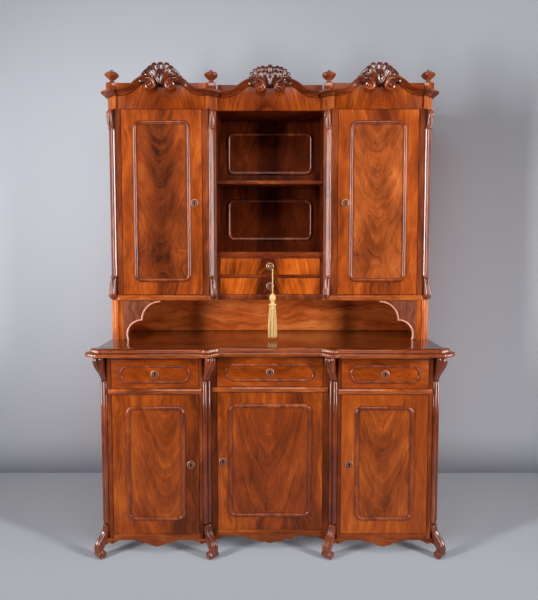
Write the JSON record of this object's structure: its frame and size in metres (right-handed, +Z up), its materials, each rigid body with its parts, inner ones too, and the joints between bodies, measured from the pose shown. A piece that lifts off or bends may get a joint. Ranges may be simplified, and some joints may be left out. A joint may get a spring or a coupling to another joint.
{
  "type": "two-part cupboard",
  "caption": "Polished mahogany cupboard with a drawer and door base, canted scroll pilasters, an upper case on scalloped supports, an open niche and arched cornices.",
  "frame": {"origin": "on the floor under the middle of the cupboard's width and depth", "axes": "+Z up, +X to the right seen from the front, the front faces -Y"},
  "size_m": [1.6138, 0.59, 2.261],
  "materials": {
    "polished_mahogany": "french polish",
    "figured_veneer": "french polish",
    "inner_wood": "planed, waxed",
    "lock_metal": "dull, worn",
    "key_steel": "worn steel",
    "tassel_silk": "silk threads"
  },
  "bodies": {
    "base": {"base_top_board": "polished_mahogany", "base_side_panels": "polished_mahogany", "base_partitions": "polished_mahogany", "base_floor_board": "inner_wood", "base_back_panel": "inner_wood", "base_corner_posts": "polished_mahogany", "base_front_rails": "polished_mahogany", "drawer_runners": "inner_wood", "base_aprons": "polished_mahogany", "base_pilasters": "polished_mahogany", "base_shelves": "polished_mahogany"},
    "upper_case": {"upper_supports": "polished_mahogany", "support_brackets": "polished_mahogany", "upper_floor_board": "polished_mahogany", "upper_side_panels": "polished_mahogany", "upper_partitions": "polished_mahogany", "upper_corner_posts": "polished_mahogany", "upper_back_panel": "polished_mahogany", "niche_mouldings": "polished_mahogany", "niche_drawer_case": "polished_mahogany", "upper_shelves": "polished_mahogany", "upper_pilasters": "polished_mahogany", "upper_roof_board": "inner_wood", "pediment_friezes": "polished_mahogany", "arched_cornices": "polished_mahogany", "cornice_blocks": "polished_mahogany", "crests": "polished_mahogany", "finials": "polished_mahogany"},
    "left_base_door": {"left_base_door_frame": "polished_mahogany", "left_base_door_panel": "figured_veneer", "left_base_door_metalwork": "lock_metal"},
    "left_upper_door": {"left_upper_door_frame": "polished_mahogany", "left_upper_door_panel": "figured_veneer", "left_upper_door_metalwork": "lock_metal"},
    "left_drawer": {"left_drawer_front": "figured_veneer", "left_drawer_box": "inner_wood", "left_drawer_metalwork": "lock_metal"},
    "right_base_door": {"right_base_door_frame": "polished_mahogany", "right_base_door_panel": "figured_veneer", "right_base_door_metalwork": "lock_metal"},
    "right_upper_door": {"right_upper_door_frame": "polished_mahogany", "right_upper_door_panel": "figured_veneer", "right_upper_door_metalwork": "lock_metal"},
    "right_drawer": {"right_drawer_front": "figured_veneer", "right_drawer_box": "inner_wood", "right_drawer_metalwork": "lock_metal"},
    "centre_door": {"centre_door_frame": "polished_mahogany", "centre_door_panel": "figured_veneer", "centre_door_metalwork": "lock_metal"},
    "centre_drawer": {"centre_drawer_front": "figured_veneer", "centre_drawer_box": "inner_wood", "centre_drawer_metalwork": "lock_metal"},
    "low_niche_drawer": {"low_niche_drawer": "polished_mahogany", "low_niche_drawer_metalwork": "lock_metal"},
    "high_niche_drawer": {"high_niche_drawer": "polished_mahogany", "high_niche_drawer_metalwork": "lock_metal"},
    "key": {"key": "key_steel"},
    "lock_bolt": {"lock_bolt": "key_steel"},
    "tassel": {"key_cord": "tassel_silk", "key_tassel": "tassel_silk"}
  },
  "joints": [
    {"name": "upper_case_lift", "type": "slide", "parent": "base", "child": "upper_case", "axis": [0, 0, 1], "range_m": [0, 0.05]},
    {"name": "left_base_door_hinge", "type": "hinge", "parent": "base", "child": "left_base_door", "pos_m": [-0.6886, -0.243, 0.427], "axis": [0, 0, -1], "range_deg": [0, 100]},
    {"name": "right_base_door_hinge", "type": "hinge", "parent": "base", "child": "right_base_door", "pos_m": [0.6886, -0.243, 0.427], "axis": [0, 0, 1], "range_deg": [0, 100]},
    {"name": "centre_door_hinge", "type": "hinge", "parent": "base", "child": "centre_door", "pos_m": [0.2236, -0.208, 0.427], "axis": [0, 0, 1], "range_deg": [0, 90]},
    {"name": "left_drawer_slide", "type": "slide", "parent": "base", "child": "left_drawer", "axis": [0, -1, 0], "range_m": [0, 0.3]},
    {"name": "right_drawer_slide", "type": "slide", "parent": "base", "child": "right_drawer", "axis": [0, -1, 0], "range_m": [0, 0.3]},
    {"name": "centre_drawer_slide", "type": "slide", "parent": "base", "child": "centre_drawer", "axis": [0, -1, 0], "range_m": [0, 0.3]},
    {"name": "left_upper_door_hinge", "type": "hinge", "parent": "upper_case", "child": "left_upper_door", "pos_m": [-0.6876, -0.011, 1.606], "axis": [0, 0, -1], "range_deg": [0, 100]},
    {"name": "right_upper_door_hinge", "type": "hinge", "parent": "upper_case", "child": "right_upper_door", "pos_m": [0.6876, -0.011, 1.606], "axis": [0, 0, 1], "range_deg": [0, 100]},
    {"name": "low_niche_drawer_slide", "type": "slide", "parent": "upper_case", "child": "low_niche_drawer", "axis": [0, -1, 0], "range_m": [0, 0.18], "deforming": ["key_cord", "key_tassel"]},
    {"name": "high_niche_drawer_slide", "type": "slide", "parent": "upper_case", "child": "high_niche_drawer", "axis": [0, -1, 0], "range_m": [0, 0.18]},
    {"name": "key_turn", "type": "hinge", "parent": "high_niche_drawer", "child": "key", "pos_m": [0, 0.017, 1.30375], "axis": [0, 1, 0], "range_deg": [0, 180]},
    {"name": "lock_bolt_slide", "type": "slide", "parent": "high_niche_drawer", "child": "lock_bolt", "axis": [0, 0, 1], "range_m": [0, 0.008]},
    {"name": "tassel_swing", "type": "hinge", "parent": "key", "child": "tassel", "pos_m": [0.01212, -0.0193, 1.29675], "axis": [0, 1, 0], "range_deg": [-180, 0]}
  ],
  "couplings": [
    {"joint": "lock_bolt_slide", "follows": "key_turn", "m_per_rad": 0.0025465},
    {"joint": "tassel_swing", "follows": "key_turn", "ratio": -1}
  ]
}
